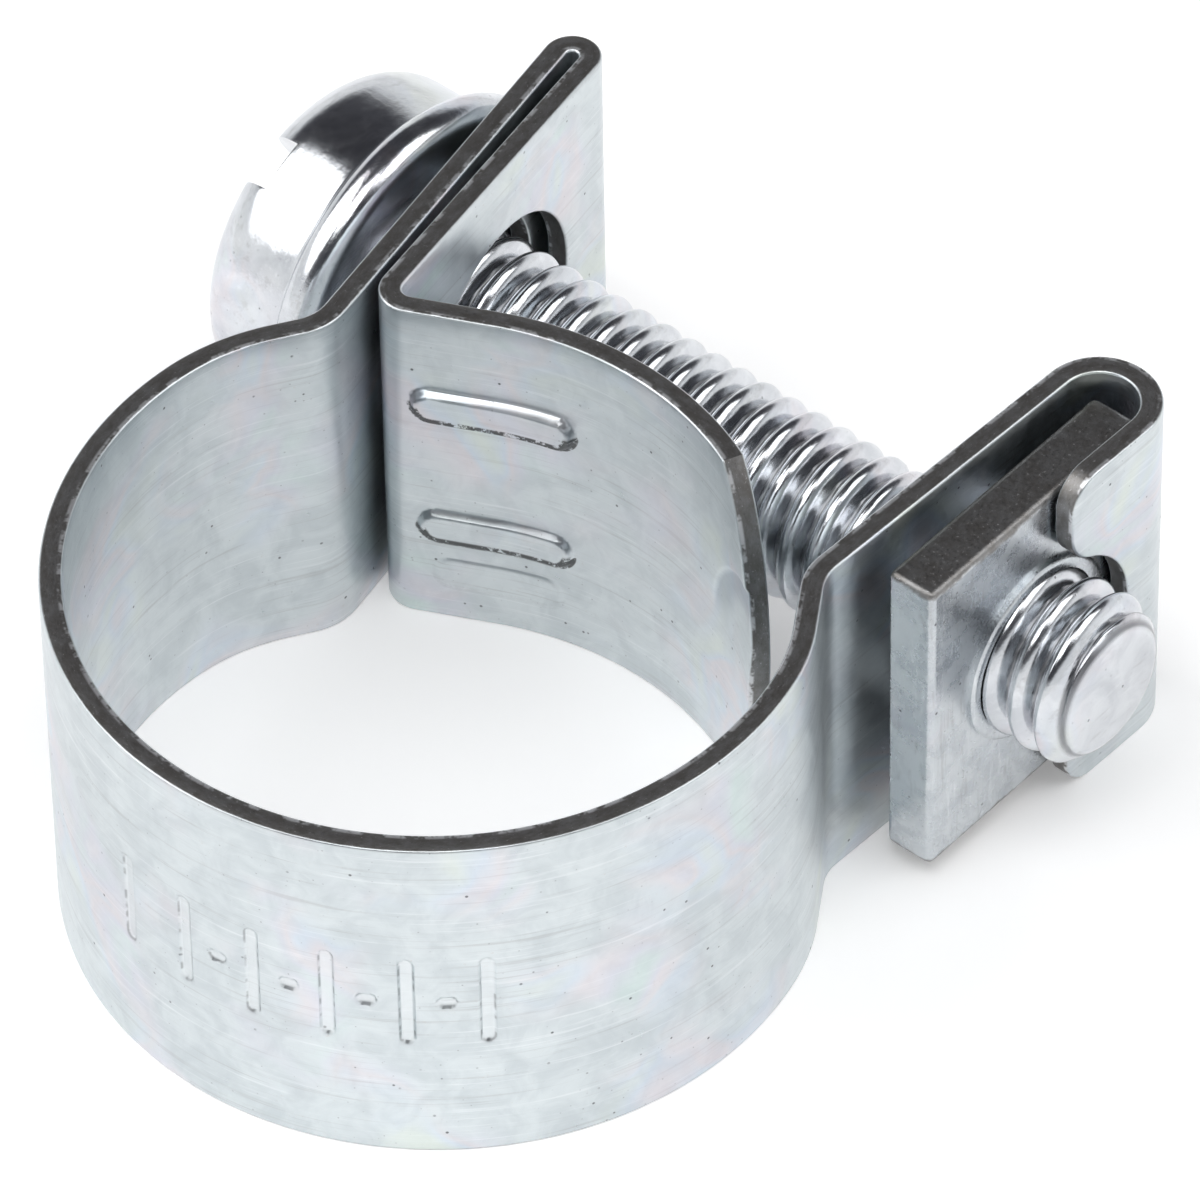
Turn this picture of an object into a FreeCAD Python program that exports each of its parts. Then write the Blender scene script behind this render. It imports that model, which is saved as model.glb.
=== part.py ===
"""Nut and bolt hose clamp: one folded steel strip, a slotted collar screw and a square nut.

The origin is the ring's centre on the plane of the strip's lower edge. +Z runs along the hose, +X runs
along the screw from its head to its tip, and +Y points from the ring to the two ears.
"""
import FreeCAD, Part
import math
import os

# Strip
STRIP_WIDTH = 9.0
STRIP_THICKNESS = 0.5
RING_BORE_RADIUS = 7.7

# Ring: the middle line is a circle that tightens into a shoulder before each ear
FRONT_HALF_ANGLE = 20.0
FLEX_ANGLE = 30.0
SHOULDER_RADIUS = 5.0
NUT_SIDE_LAST_ARC = 25.0
NUT_SIDE_SHOULDER_ANGLE = 18.0
NUT_SIDE_SHOULDER_FLAT = 1.2
HEAD_SIDE_LAST_ARC = 15.0
HEAD_SIDE_SHOULDER_ANGLE = 28.0
HEAD_SIDE_SHOULDER_FLAT = 0.6

# Ear on the nut's side: a plate rolled over into a hook that holds the nut
NUT_EAR_ROOT_RADIUS = 1.3
NUT_EAR_ROOT_ANGLE = 35.0
NUT_EAR_PLATE = 7.31
HOOK_RADIUS = 1.095
HOOK_ANGLE = 179.0
HOOK_LEG = 2.45
HOOK_NOTCH_RADIUS = 2.4
HOOK_NOTCH_FILLET = 1.1
HOOK_CORNER_FILLET = 0.8
NUT_EAR_HOLE_RADIUS = 2.5

# Ear on the head's side: the strip folded back on itself, then bent into the tongue
HEAD_EAR_ROOT_RADIUS = 1.25
HEAD_EAR_ROOT_ANGLE = 43.2
HEAD_EAR_OUTER_LEAF = 9.18
FOLD_RADIUS = 0.4
FOLD_ANGLE = 181.2
HEAD_EAR_INNER_LEAF = 7.84
HEAD_EAR_OUTER_HOLE_RADIUS = 2.3
HEAD_EAR_INNER_HOLE_RADIUS = 2.7

# Tongue: bridges the gap between the ears from the inside
TONGUE_ROOT_RADIUS = 0.5
TONGUE_ROOT_ANGLE = 107.0
TONGUE_FLAT = 1.88
TONGUE_RADIUS = 7.6
TONGUE_ROOT_ARC = 20.0
TONGUE_FLEX_ARC = 22.0
TONGUE_TIP_CROWN = 6.8
RIB_HEIGHT = 0.18
RIB_WIDTH = 0.75
RIB_LEVELS = (2.75, 6.35)
RIB_FLAT = 1.6
RIB_ARC = 15.0

# Screw
SCREW_AXIS_Y = 9.53
SCREW_AXIS_Z = STRIP_WIDTH / 2
SHANK_RADIUS = 1.95
SCREW_TIP_X = 10.4
TIP_CHAMFER = 0.5
COLLAR_FACE_X = -8.52
COLLAR_RADIUS = 4.45
COLLAR_THICKNESS = 0.95
COLLAR_ROUND = 0.4
HEAD_RADIUS = 3.95
HEAD_HEIGHT = 2.6
HEAD_ROUND = 1.1
SLOT_WIDTH = 1.2
SLOT_DEPTH = 0.95
SLOT_LEAN = 28.0

# Nut
NUT_BACK_X = 7.05
NUT_THICKNESS = 1.2
NUT_WIDTH_Y = 6.8
NUT_WIDTH_Z = 8.1
NUT_BORE_RADIUS = 2.0
NUT_CHAMFER = 0.25
BOSS_RADIUS = 2.2
BOSS_HEIGHT = 0.15

# How far a cutting shape reaches past what it cuts.
CUT_SLACK = 1.0

HALF_THICKNESS = STRIP_THICKNESS / 2
RING_RADIUS = RING_BORE_RADIUS + HALF_THICKNESS


class Station:
    """A place on the strip's middle line: a point in plan and a heading in degrees from +X."""

    def __init__(self, x, y, heading):
        self.x = x
        self.y = y
        self.heading = heading

    def beside(self, offset, z=0.0):
        """The point at an offset to the left of the heading."""
        angle = math.radians(self.heading)
        return FreeCAD.Vector(self.x - offset * math.sin(angle), self.y + offset * math.cos(angle), z)

    def after_flat(self, length):
        """The station at the end of a flat run."""
        angle = math.radians(self.heading)
        return Station(self.x + length * math.cos(angle), self.y + length * math.sin(angle), self.heading)

    def after_bend(self, radius, turn):
        """The station at the end of a bend; a positive turn is to the left."""
        side = math.copysign(radius, turn)
        centre = self.beside(side)
        ahead = Station(centre.x, centre.y, self.heading + turn)
        end = ahead.beside(-side)
        return Station(end.x, end.y, self.heading + turn)

    def after(self, move):
        """The station at the end of one move, which is a flat length or a (radius, turn) bend."""
        if isinstance(move, tuple):
            return self.after_bend(*move)
        return self.after_flat(move)


def walk(start, moves):
    """The stations at the start and after every move."""
    stations = [start]
    for move in moves:
        stations.append(stations[-1].after(move))
    return stations


def edge_curve(station, move, offset):
    """The edge that one move draws at an offset to the left of the middle line."""
    end = station.after(move)
    if not isinstance(move, tuple):
        return Part.makeLine(station.beside(offset), end.beside(offset))
    radius, turn = move
    middle = station.after_bend(radius, turn / 2)
    return Part.Arc(station.beside(offset), middle.beside(offset), end.beside(offset)).toShape()


def ribbon(start, moves, left=HALF_THICKNESS, right=-HALF_THICKNESS, low=0.0, high=STRIP_WIDTH):
    """The solid between two offsets of a path, from one height to another."""
    stations = walk(start, moves)
    left_edges = [edge_curve(s, m, left) for s, m in zip(stations, moves)]
    right_edges = [edge_curve(s, m, right) for s, m in zip(stations, moves)]
    end_cap = Part.makeLine(stations[-1].beside(left), stations[-1].beside(right))
    start_cap = Part.makeLine(start.beside(right), start.beside(left))
    outline = left_edges + [end_cap] + right_edges[::-1] + [start_cap]
    face = Part.Face(Part.Wire(Part.__sortEdges__(outline)))
    solid = face.extrude(FreeCAD.Vector(0, 0, high - low))
    solid.translate(FreeCAD.Vector(0, 0, low))
    return solid


def along_x(radius, x_start, x_end):
    """A cylinder on the screw's axis."""
    base = FreeCAD.Vector(x_start, SCREW_AXIS_Y, SCREW_AXIS_Z)
    return Part.makeCylinder(radius, x_end - x_start, base, FreeCAD.Vector(1, 0, 0))


def mirrored(station):
    """The same station on the other side of the ring."""
    return Station(-station.x, station.y, 180.0 - station.heading)


def ring_start(angle):
    """The station on the ring's middle line at an angle from the front, towards +X."""
    ahead = Station(0.0, 0.0, angle).beside(-RING_RADIUS)
    return Station(ahead.x, ahead.y, angle)


def half(bend):
    """One half of a (radius, turn) bend."""
    return (bend[0], bend[1] / 2)


def nut_side():
    """The strip from the ring's front round to the hook that holds the nut."""
    flex = (RING_RADIUS, FLEX_ANGLE)
    root = half((NUT_EAR_ROOT_RADIUS, -NUT_EAR_ROOT_ANGLE))
    shoulder = [(RING_RADIUS, NUT_SIDE_LAST_ARC), (SHOULDER_RADIUS, NUT_SIDE_SHOULDER_ANGLE),
                NUT_SIDE_SHOULDER_FLAT, root]
    ear = [root, NUT_EAR_PLATE, (HOOK_RADIUS, -HOOK_ANGLE), HOOK_LEG]
    first = ring_start(FRONT_HALF_ANGLE)
    second = first.after(flex)
    third = second.after(flex)
    fourth = walk(third, shoulder)[-1]
    hook_start = walk(fourth, ear)[-2]
    return {
        "band_nut_side_1": ribbon(first, [flex]),
        "band_nut_side_2": ribbon(second, [flex]),
        "band_nut_side_shoulder": ribbon(third, shoulder),
        "nut_ear": nut_ear(ribbon(fourth, ear), hook_start),
    }


def nut_ear(blank, leg_start):
    """The hooked ear with its screw hole, and the notch and corners of the hook's short leg."""
    leg_end_y = leg_start.after_flat(HOOK_LEG).y
    plate_hole = along_x(NUT_EAR_HOLE_RADIUS, 0.0, leg_start.x - HOOK_RADIUS)
    leg_height = leg_start.y - leg_end_y
    leg = Part.makeBox(2 * STRIP_THICKNESS, leg_height + CUT_SLACK, STRIP_WIDTH,
                       FreeCAD.Vector(leg_start.x - STRIP_THICKNESS, leg_end_y, 0))
    leg = leg.cut(along_x(HOOK_NOTCH_RADIUS, leg_start.x - CUT_SLACK, leg_start.x + CUT_SLACK))
    ends = [e for e in leg.Edges if is_x_edge(e) and is_on_line(e, leg_end_y)]
    leg = leg.makeFillet(HOOK_NOTCH_FILLET, [e for e in ends if not is_outer(e)])
    ends = [e for e in leg.Edges if is_x_edge(e) and is_on_line(e, leg_end_y)]
    leg = leg.makeFillet(HOOK_CORNER_FILLET, [e for e in ends if is_outer(e)])
    reach = 2 * RING_RADIUS
    behind_leg = Part.makeBox(reach, 2 * reach, STRIP_WIDTH,
                              FreeCAD.Vector(leg_start.x - CUT_SLACK - reach, 0, 0))
    above_leg = Part.makeBox(reach, reach, STRIP_WIDTH,
                             FreeCAD.Vector(0, leg_start.y + CUT_SLACK / 2, 0))
    allowed = leg.fuse([behind_leg, above_leg])
    return blank.cut(plate_hole).common(allowed)


def is_x_edge(edge):
    """True for a straight edge along X."""
    if not isinstance(edge.Curve, Part.Line):
        return False
    return abs(edge.tangentAt(edge.FirstParameter).x) > 0.999


def is_on_line(edge, y):
    """True for an edge at a given Y."""
    return abs(edge.CenterOfMass.y - y) < 1e-6


def is_outer(edge):
    """True for an edge on the strip's lower or upper edge."""
    z = edge.CenterOfMass.z
    return z < 1e-6 or z > STRIP_WIDTH - 1e-6


def head_side():
    """The strip from the ring's front round to the folded ear, and on into the tongue."""
    start = mirrored(ring_start(FRONT_HALF_ANGLE))
    flex = (RING_RADIUS, -FLEX_ANGLE)
    root = half((HEAD_EAR_ROOT_RADIUS, HEAD_EAR_ROOT_ANGLE))
    shoulder = [(RING_RADIUS, -HEAD_SIDE_LAST_ARC), (SHOULDER_RADIUS, -HEAD_SIDE_SHOULDER_ANGLE),
                HEAD_SIDE_SHOULDER_FLAT, root]
    bend = half((TONGUE_ROOT_RADIUS, TONGUE_ROOT_ANGLE))
    ear = [root, HEAD_EAR_OUTER_LEAF, (FOLD_RADIUS, -FOLD_ANGLE), HEAD_EAR_INNER_LEAF, bend]
    second = start.after(flex)
    third = second.after(flex)
    fourth = walk(third, shoulder)[-1]
    ear_stations = walk(fourth, ear)
    fold = ear_stations[2]
    tongue = tongue_pieces(ear_stations[-1], bend)
    return {
        "band_head_side_1": ribbon(start, [flex]),
        "band_head_side_2": ribbon(second, [flex]),
        "band_head_side_shoulder": ribbon(third, shoulder),
        "head_ear": head_ear(ribbon(fourth, ear), fold),
        **tongue,
    }


def head_ear(blank, fold):
    """The folded ear: a close hole in the outer leaf and a wide one in the inner leaf."""
    between_leaves = fold.beside(-FOLD_RADIUS)
    gap_angle = math.radians(fold.heading)
    drop = (between_leaves.y - SCREW_AXIS_Y) / math.tan(gap_angle)
    gap_x = between_leaves.x - drop
    reach = 4.0
    inner_hole = along_x(HEAD_EAR_INNER_HOLE_RADIUS, gap_x, gap_x + reach)
    outer_hole = along_x(HEAD_EAR_OUTER_HOLE_RADIUS, gap_x - reach, gap_x + reach)
    return blank.cut(inner_hole).cut(outer_hole)


def tongue_pieces(start, bend):
    """The tongue in three lengths, with two pressed ribs on the first and a crowned end on the last."""
    first_arc = (TONGUE_RADIUS, -TONGUE_ROOT_ARC)
    flex = (TONGUE_RADIUS, -TONGUE_FLEX_ARC)
    first = ribbon(start, [bend, TONGUE_FLAT, first_arc])
    middle_start = walk(start, [bend, TONGUE_FLAT, first_arc])[-1]
    tip_start = middle_start.after(flex)
    rib_start = start.after(bend).after_flat(TONGUE_FLAT - RIB_FLAT)
    for level in RIB_LEVELS:
        rib = ribbon(rib_start, [RIB_FLAT, (TONGUE_RADIUS, -RIB_ARC)], -HALF_THICKNESS + 0.05,
                     -HALF_THICKNESS - RIB_HEIGHT, level - RIB_WIDTH / 2, level + RIB_WIDTH / 2)
        first = first.fuse(rib)
    end = tip_start.after(flex)
    crown_centre = end.after_flat(-TONGUE_TIP_CROWN)
    across = end.beside(1.0) - end.beside(0.0)
    base = FreeCAD.Vector(crown_centre.x, crown_centre.y, STRIP_WIDTH / 2) - across * STRIP_WIDTH
    crown = Part.makeCylinder(TONGUE_TIP_CROWN, 2 * STRIP_WIDTH, base, across)
    return {
        "tongue_root": first.removeSplitter(),
        "tongue_middle": ribbon(middle_start, [flex]),
        "tongue_tip": ribbon(tip_start, [flex]).common(crown),
    }


def turned(profile):
    """A solid turned about the screw's axis from (x, radius) points joined by straight lines and arcs."""
    edges = []
    for kind, points in profile:
        vectors = [FreeCAD.Vector(x, SCREW_AXIS_Y + r, SCREW_AXIS_Z) for x, r in points]
        if kind == "line":
            edges.append(Part.makeLine(*vectors))
        else:
            edges.append(Part.Arc(*vectors).toShape())
    face = Part.Face(Part.Wire(edges))
    axis_point = FreeCAD.Vector(0, SCREW_AXIS_Y, SCREW_AXIS_Z)
    return face.revolve(axis_point, FreeCAD.Vector(1, 0, 0), 360)


def quarter(x_centre, r_centre, radius, angles):
    """Three points of an arc, by angles in degrees measured from +X towards larger radius."""
    return [(x_centre + radius * math.cos(math.radians(a)), r_centre + radius * math.sin(math.radians(a)))
            for a in angles]


def screw():
    """The collar screw: chamfered shank, rounded collar and slotted pan head, turned in one piece."""
    collar_back = COLLAR_FACE_X - COLLAR_THICKNESS
    head_end = collar_back - HEAD_HEIGHT
    rim = COLLAR_RADIUS - COLLAR_ROUND
    head_flat = HEAD_RADIUS - HEAD_ROUND
    corner_front = quarter(COLLAR_FACE_X - COLLAR_ROUND, rim, COLLAR_ROUND, (0, 45, 90))
    corner_back = quarter(collar_back + COLLAR_ROUND, rim, COLLAR_ROUND, (90, 135, 180))
    corner_head = quarter(head_end + HEAD_ROUND, head_flat, HEAD_ROUND, (90, 135, 180))
    chamfer_start = SCREW_TIP_X - TIP_CHAMFER
    tip_radius = SHANK_RADIUS - TIP_CHAMFER
    body = turned([
        ("line", [(SCREW_TIP_X, 0), (SCREW_TIP_X, tip_radius)]),
        ("line", [(SCREW_TIP_X, tip_radius), (chamfer_start, SHANK_RADIUS)]),
        ("line", [(chamfer_start, SHANK_RADIUS), (COLLAR_FACE_X, SHANK_RADIUS)]),
        ("line", [(COLLAR_FACE_X, SHANK_RADIUS), corner_front[0]]),
        ("arc", corner_front),
        ("line", [corner_front[-1], corner_back[0]]),
        ("arc", corner_back),
        ("line", [corner_back[-1], (collar_back, HEAD_RADIUS)]),
        ("line", [(collar_back, HEAD_RADIUS), corner_head[0]]),
        ("arc", corner_head),
        ("line", [corner_head[-1], (head_end, 0)]),
        ("line", [(head_end, 0), (SCREW_TIP_X, 0)]),
    ])
    length = 3 * HEAD_RADIUS
    slot = Part.makeBox(2 * SLOT_DEPTH, SLOT_WIDTH, length,
                        FreeCAD.Vector(head_end - SLOT_DEPTH, -SLOT_WIDTH / 2, -length / 2))
    slot.rotate(FreeCAD.Vector(0, 0, 0), FreeCAD.Vector(1, 0, 0), SLOT_LEAN)
    slot.translate(FreeCAD.Vector(0, SCREW_AXIS_Y, SCREW_AXIS_Z))
    return body.cut(slot)


def nut():
    """The square nut: a flat plate with a low boss round its threaded hole."""
    corner = FreeCAD.Vector(NUT_BACK_X, SCREW_AXIS_Y - NUT_WIDTH_Y / 2, SCREW_AXIS_Z - NUT_WIDTH_Z / 2)
    plate = Part.makeBox(NUT_THICKNESS, NUT_WIDTH_Y, NUT_WIDTH_Z, corner)
    front_x = NUT_BACK_X + NUT_THICKNESS
    top_z = corner.z + NUT_WIDTH_Z
    top_edge = [e for e in plate.Edges
                if abs(e.CenterOfMass.x - front_x) < 1e-6 and abs(e.CenterOfMass.z - top_z) < 1e-6]
    plate = plate.makeChamfer(NUT_CHAMFER, top_edge)
    boss = along_x(BOSS_RADIUS, NUT_BACK_X + NUT_THICKNESS / 2, front_x + BOSS_HEIGHT)
    bore = along_x(NUT_BORE_RADIUS, 0.0, front_x + 1.0)
    return plate.fuse(boss).cut(bore)


def main():
    """Write one STEP file for every piece."""
    os.makedirs("parts", exist_ok=True)
    front = ribbon(ring_start(-FRONT_HALF_ANGLE), [(RING_RADIUS, 2 * FRONT_HALF_ANGLE)])
    pieces = {"band_front": front, **nut_side(), **head_side(), "collar_screw": screw(), "square_nut": nut()}
    for node, shape in pieces.items():
        solid = shape.Solids[0]
        print(f"{node}: {len(shape.Solids)} solid, {solid.Volume:.2f} mm3, valid {solid.isValid()}")
        solid.exportStep(f"parts/{node}.step")


main()
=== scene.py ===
"""Looks of a nut and bolt hose clamp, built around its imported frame.

One strip of zinc plated steel makes the ring, both ears and the tongue. It is cut as a flat blank with its
holes and ends, and then bent along a path of flats and arcs. The screw's thread and the nut's own thread are
grown by one Geometry Nodes tree. Lengths are millimetres until a mesh is finished, and metres after that.
"""
import logging
import math
from dataclasses import dataclass, field
from enum import Enum, IntEnum
from typing import Callable, Iterable, Sequence

import bmesh
import bpy
import numpy as np
from mathutils import Matrix, Vector


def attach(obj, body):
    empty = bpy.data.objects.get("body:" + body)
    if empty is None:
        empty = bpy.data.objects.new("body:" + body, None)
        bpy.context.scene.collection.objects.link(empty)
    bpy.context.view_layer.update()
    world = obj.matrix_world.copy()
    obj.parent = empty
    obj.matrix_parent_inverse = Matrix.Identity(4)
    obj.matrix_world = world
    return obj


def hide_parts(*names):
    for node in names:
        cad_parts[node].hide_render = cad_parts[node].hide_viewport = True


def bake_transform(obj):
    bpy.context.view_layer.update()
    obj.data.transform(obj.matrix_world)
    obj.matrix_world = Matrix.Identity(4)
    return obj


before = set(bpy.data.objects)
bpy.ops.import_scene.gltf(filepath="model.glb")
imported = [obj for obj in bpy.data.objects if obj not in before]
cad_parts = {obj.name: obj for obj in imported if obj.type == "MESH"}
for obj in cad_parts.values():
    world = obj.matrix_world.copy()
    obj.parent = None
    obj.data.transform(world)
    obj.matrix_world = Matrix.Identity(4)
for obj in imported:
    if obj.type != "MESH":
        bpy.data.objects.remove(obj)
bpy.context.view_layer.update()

LOG = logging.getLogger("hose_clamp")
MM = 0.001

Point = tuple[float, float]


# ---------------------------------------------------------------------------------------------------------
# Small tools for meshes
# ---------------------------------------------------------------------------------------------------------

def smooth(low: float, high: float, value: np.ndarray | float) -> np.ndarray:
    """A smooth step of value from 0 at low to 1 at high."""
    t = np.clip((np.asarray(value, float) - low) / (high - low), 0.0, 1.0)
    return t * t * (3.0 - 2.0 * t)


def arc_points(centre: Point, radius: float, start: float, end: float, step: float = 6.0) -> list[Point]:
    """Points of an arc.

    Args:
        centre: The arc's centre.
        radius: Its radius.
        start: The first angle, in degrees.
        end: The last angle, in degrees, reached clockwise where it is the smaller one.
        step: The largest angle between two points, in degrees.

    Returns:
        The points from the first angle to the last, both included.
    """
    count = max(2, math.ceil(abs(end - start) / step) + 1)
    angles = np.radians(np.linspace(start, end, count))
    return [(centre[0] + radius * math.cos(a), centre[1] + radius * math.sin(a)) for a in angles]


def baked_object(source: bpy.types.Object, name: str) -> bpy.types.Object:
    """Turns an object with modifiers or a curve into a plain mesh object, and removes the source.

    Args:
        source: The object to evaluate.
        name: The name of the result.

    Returns:
        A linked object with the evaluated mesh and no modifiers.
    """
    depsgraph = bpy.context.evaluated_depsgraph_get()
    mesh = bpy.data.meshes.new_from_object(source.evaluated_get(depsgraph), depsgraph=depsgraph)
    bpy.data.objects.remove(source)
    mesh.name = name
    return linked(bpy.data.objects.new(name, mesh))


def linked(obj: bpy.types.Object) -> bpy.types.Object:
    """Puts an object in the scene and returns it."""
    bpy.context.scene.collection.objects.link(obj)
    return obj


def mesh_object(name: str, bm: bmesh.types.BMesh) -> bpy.types.Object:
    """Writes a bmesh in millimetres to a new smooth-shaded object in metres, and frees the bmesh."""
    bm.transform(Matrix.Scale(MM, 4))
    mesh = bpy.data.meshes.new(name)
    bm.to_mesh(mesh)
    bm.free()
    mesh.shade_smooth()
    return linked(bpy.data.objects.new(name, mesh))


def with_modifier(obj: bpy.types.Object, kind: str, **settings: object) -> bpy.types.Object:
    """Adds one modifier, bakes it and returns the object that replaces the given one.

    Args:
        obj: The object to modify.
        kind: The modifier's type.
        **settings: The modifier's properties.

    Returns:
        A plain mesh object of the same name.
    """
    name = obj.name
    modifier = obj.modifiers.new(kind.lower(), kind)
    for key, value in settings.items():
        setattr(modifier, key, value)
    obj.name = name + "_source"
    return baked_object(obj, name)


def cut_away(obj: bpy.types.Object, cutter: bpy.types.Object) -> bpy.types.Object:
    """Takes the cutter's space out of an object, and removes the cutter."""
    result = with_modifier(obj, "BOOLEAN", operation="DIFFERENCE", solver="EXACT", object=cutter)
    bpy.data.objects.remove(cutter)
    return result


def flowing_normals(obj: bpy.types.Object, sharp: float = 40.0) -> bpy.types.Object:
    """Shades large faces flat up to their rounded edges, and keeps corners over a given angle sharp."""
    obj.data.shade_smooth()
    obj.data.set_sharp_from_angle(angle=math.radians(sharp))
    return with_modifier(obj, "WEIGHTED_NORMAL", keep_sharp=True, weight=60, mode="FACE_AREA")


# ---------------------------------------------------------------------------------------------------------
# Node trees: a socket that does maths, and one method for every other node
# ---------------------------------------------------------------------------------------------------------

class Sock:
    """A socket of numbers whose arithmetic adds Math nodes to its tree."""

    def __init__(self, wiring: "Wiring", socket: bpy.types.NodeSocket) -> None:
        """Wraps one output socket of a tree."""
        self.wiring = wiring
        self.socket = socket

    def _math(self, operation: str, *values: "Sock | float") -> "Sock":
        """Adds one Math node."""
        kind = self.wiring.math_kind
        return self.wiring.node(kind, {"operation": operation}, dict(enumerate(values)))

    def __add__(self, other: "Sock | float") -> "Sock":
        """The sum."""
        return self._math("ADD", self, other)

    def __radd__(self, other: float) -> "Sock":
        """The sum, with a plain number first."""
        return self._math("ADD", other, self)

    def __sub__(self, other: "Sock | float") -> "Sock":
        """The difference."""
        return self._math("SUBTRACT", self, other)

    def __rsub__(self, other: float) -> "Sock":
        """The difference, from a plain number."""
        return self._math("SUBTRACT", other, self)

    def __mul__(self, other: "Sock | float") -> "Sock":
        """The product."""
        return self._math("MULTIPLY", self, other)

    def __rmul__(self, other: float) -> "Sock":
        """The product, with a plain number first."""
        return self._math("MULTIPLY", other, self)

    def __truediv__(self, other: "Sock | float") -> "Sock":
        """The quotient."""
        return self._math("DIVIDE", self, other)

    def __rtruediv__(self, other: float) -> "Sock":
        """The quotient, of a plain number."""
        return self._math("DIVIDE", other, self)

    def __abs__(self) -> "Sock":
        """The size without its sign."""
        return self._math("ABSOLUTE", self)

    def least(self, other: "Sock | float") -> "Sock":
        """The smaller of two values."""
        return self._math("MINIMUM", self, other)

    def most(self, other: "Sock | float") -> "Sock":
        """The larger of two values."""
        return self._math("MAXIMUM", self, other)

    def over(self, other: "Sock | float") -> "Sock":
        """One where this value is the larger, and nought elsewhere."""
        return self._math("GREATER_THAN", self, other)

    def fraction(self) -> "Sock":
        """What is left after the whole number is taken off."""
        return self._math("FRACT", self)

    def sine(self) -> "Sock":
        """The sine, of radians."""
        return self._math("SINE", self)

    def cosine(self) -> "Sock":
        """The cosine, of radians."""
        return self._math("COSINE", self)

    def step(self, low: float, high: float, out: Point = (0.0, 1.0)) -> "Sock":
        """A smooth step.

        Args:
            low: The value at which the step starts.
            high: The value at which it ends; it may be under low, for a falling step.
            out: The result before the start and after the end.

        Returns:
            The stepped value.
        """
        if low > high:
            low, high, out = high, low, (out[1], out[0])
        settings = {"interpolation_type": "SMOOTHSTEP"}
        values = {"Value": self, "From Min": low, "From Max": high, "To Min": out[0], "To Max": out[1]}
        return self.wiring.node("ShaderNodeMapRange", settings, values)


class Wiring:
    """One node tree, with a method that adds any node."""

    math_kind = "ShaderNodeMath"

    def __init__(self, tree: bpy.types.NodeTree) -> None:
        """Starts from an empty tree."""
        self.tree = tree
        tree.nodes.clear()

    def node(self, kind: str, settings: dict[str, object] | None = None,
             values: dict[str | int, object] | None = None, out: str | int = 0) -> Sock:
        """Adds a node.

        Args:
            kind: The node's type.
            settings: Its properties, set before any socket is read. "stops" fills a colour ramp.
            values: What each input gets, by name or number: a Sock is linked, and anything else is its value.
            out: The output that is returned.

        Returns:
            The chosen output, or the first one.
        """
        node = self.tree.nodes.new(kind)
        for key, value in (settings or {}).items():
            if key == "stops":
                self._fill_ramp(node.color_ramp, value)
            else:
                setattr(node, key, value)
        for key, value in (values or {}).items():
            target = self._input(node, key)
            if isinstance(value, Sock):
                self.tree.links.new(value.socket, target)
            else:
                target.default_value = value
        if not node.outputs:
            return Sock(self, None)
        return Sock(self, node.outputs[out])

    @staticmethod
    def _input(node: bpy.types.Node, key: str | int) -> bpy.types.NodeSocket:
        """The enabled input of that name, or the input at that number."""
        if isinstance(key, int):
            return node.inputs[key]
        return next(s for s in node.inputs if s.name == key and s.enabled)

    @staticmethod
    def _fill_ramp(ramp: bpy.types.ColorRamp, stops: Sequence[tuple[float, Sequence[float]]]) -> None:
        """Sets a colour ramp's stops."""
        while len(ramp.elements) < len(stops):
            ramp.elements.new(0.5)
        for element, (position, colour) in zip(ramp.elements, stops):
            element.position = position
            element.color = (*colour, 1.0)

    def blend(self, factor: Sock | float, first: object, second: object, mode: str = "MIX") -> Sock:
        """Mixes two colours.

        Args:
            factor: The share of the second one.
            first: A colour or a Sock.
            second: A colour or a Sock.
            mode: The way of mixing.

        Returns:
            The mixed colour.
        """
        settings = {"data_type": "RGBA", "blend_type": mode}
        values = {0: factor, 6: as_colour(first), 7: as_colour(second)}
        return self.node("ShaderNodeMix", settings, values, out=2)

    def vector(self, x: Sock | float, y: Sock | float, z: Sock | float) -> Sock:
        """Joins three numbers in a vector."""
        return self.node("ShaderNodeCombineXYZ", None, {0: x, 1: y, 2: z})

    def parts(self, vector: Sock) -> tuple[Sock, Sock, Sock]:
        """Splits a vector into its three numbers."""
        first = self.node("ShaderNodeSeparateXYZ", None, {0: vector})
        outputs = first.socket.node.outputs
        return Sock(self, outputs[0]), Sock(self, outputs[1]), Sock(self, outputs[2])

    def noise(self, place: Sock, scale: float, detail: float = 3.0, rough: float = 0.55,
              distort: float = 0.0) -> Sock:
        """Cloudy noise at a place, as a number round 0.5."""
        values = {"Vector": place, "Scale": scale, "Detail": detail, "Roughness": rough,
                  "Distortion": distort}
        return self.node("ShaderNodeTexNoise", None, values)

    def cells(self, place: Sock, scale: float, spread: float = 1.0) -> Sock:
        """The distance to the nearest of many scattered points."""
        values = {"Vector": place, "Scale": scale, "Randomness": spread}
        return self.node("ShaderNodeTexVoronoi", {"feature": "F1"}, values)

    def stretched(self, place: Sock, scale: Sequence[float], turn: float = 0.0) -> Sock:
        """A place that is turned about its third axis and then scaled along each axis."""
        turned = self.node("ShaderNodeMapping", None,
                           {"Vector": place, "Rotation": (0.0, 0.0, math.radians(turn))})
        return self.node("ShaderNodeMapping", None, {"Vector": turned, "Scale": tuple(scale)})


def as_colour(value: object) -> object:
    """Gives a plain colour its fourth number, and leaves a socket alone."""
    if isinstance(value, Sock):
        return value
    return (*value, 1.0)

# ---------------------------------------------------------------------------------------------------------
# The strip's path
# ---------------------------------------------------------------------------------------------------------

@dataclass(frozen=True)
class Run:
    """A flat or bent stretch of the strip's middle line, with its turn to the left in degrees."""

    length: float
    turn: float = 0.0


def bent(radius: float, turn: float) -> Run:
    """A bend of a given radius."""
    return Run(radius * math.radians(abs(turn)), turn)


class Side(Enum):
    """The two sides of the ring, by the sign of X that each one lies on."""

    NUT = 1
    HEAD = -1


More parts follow.
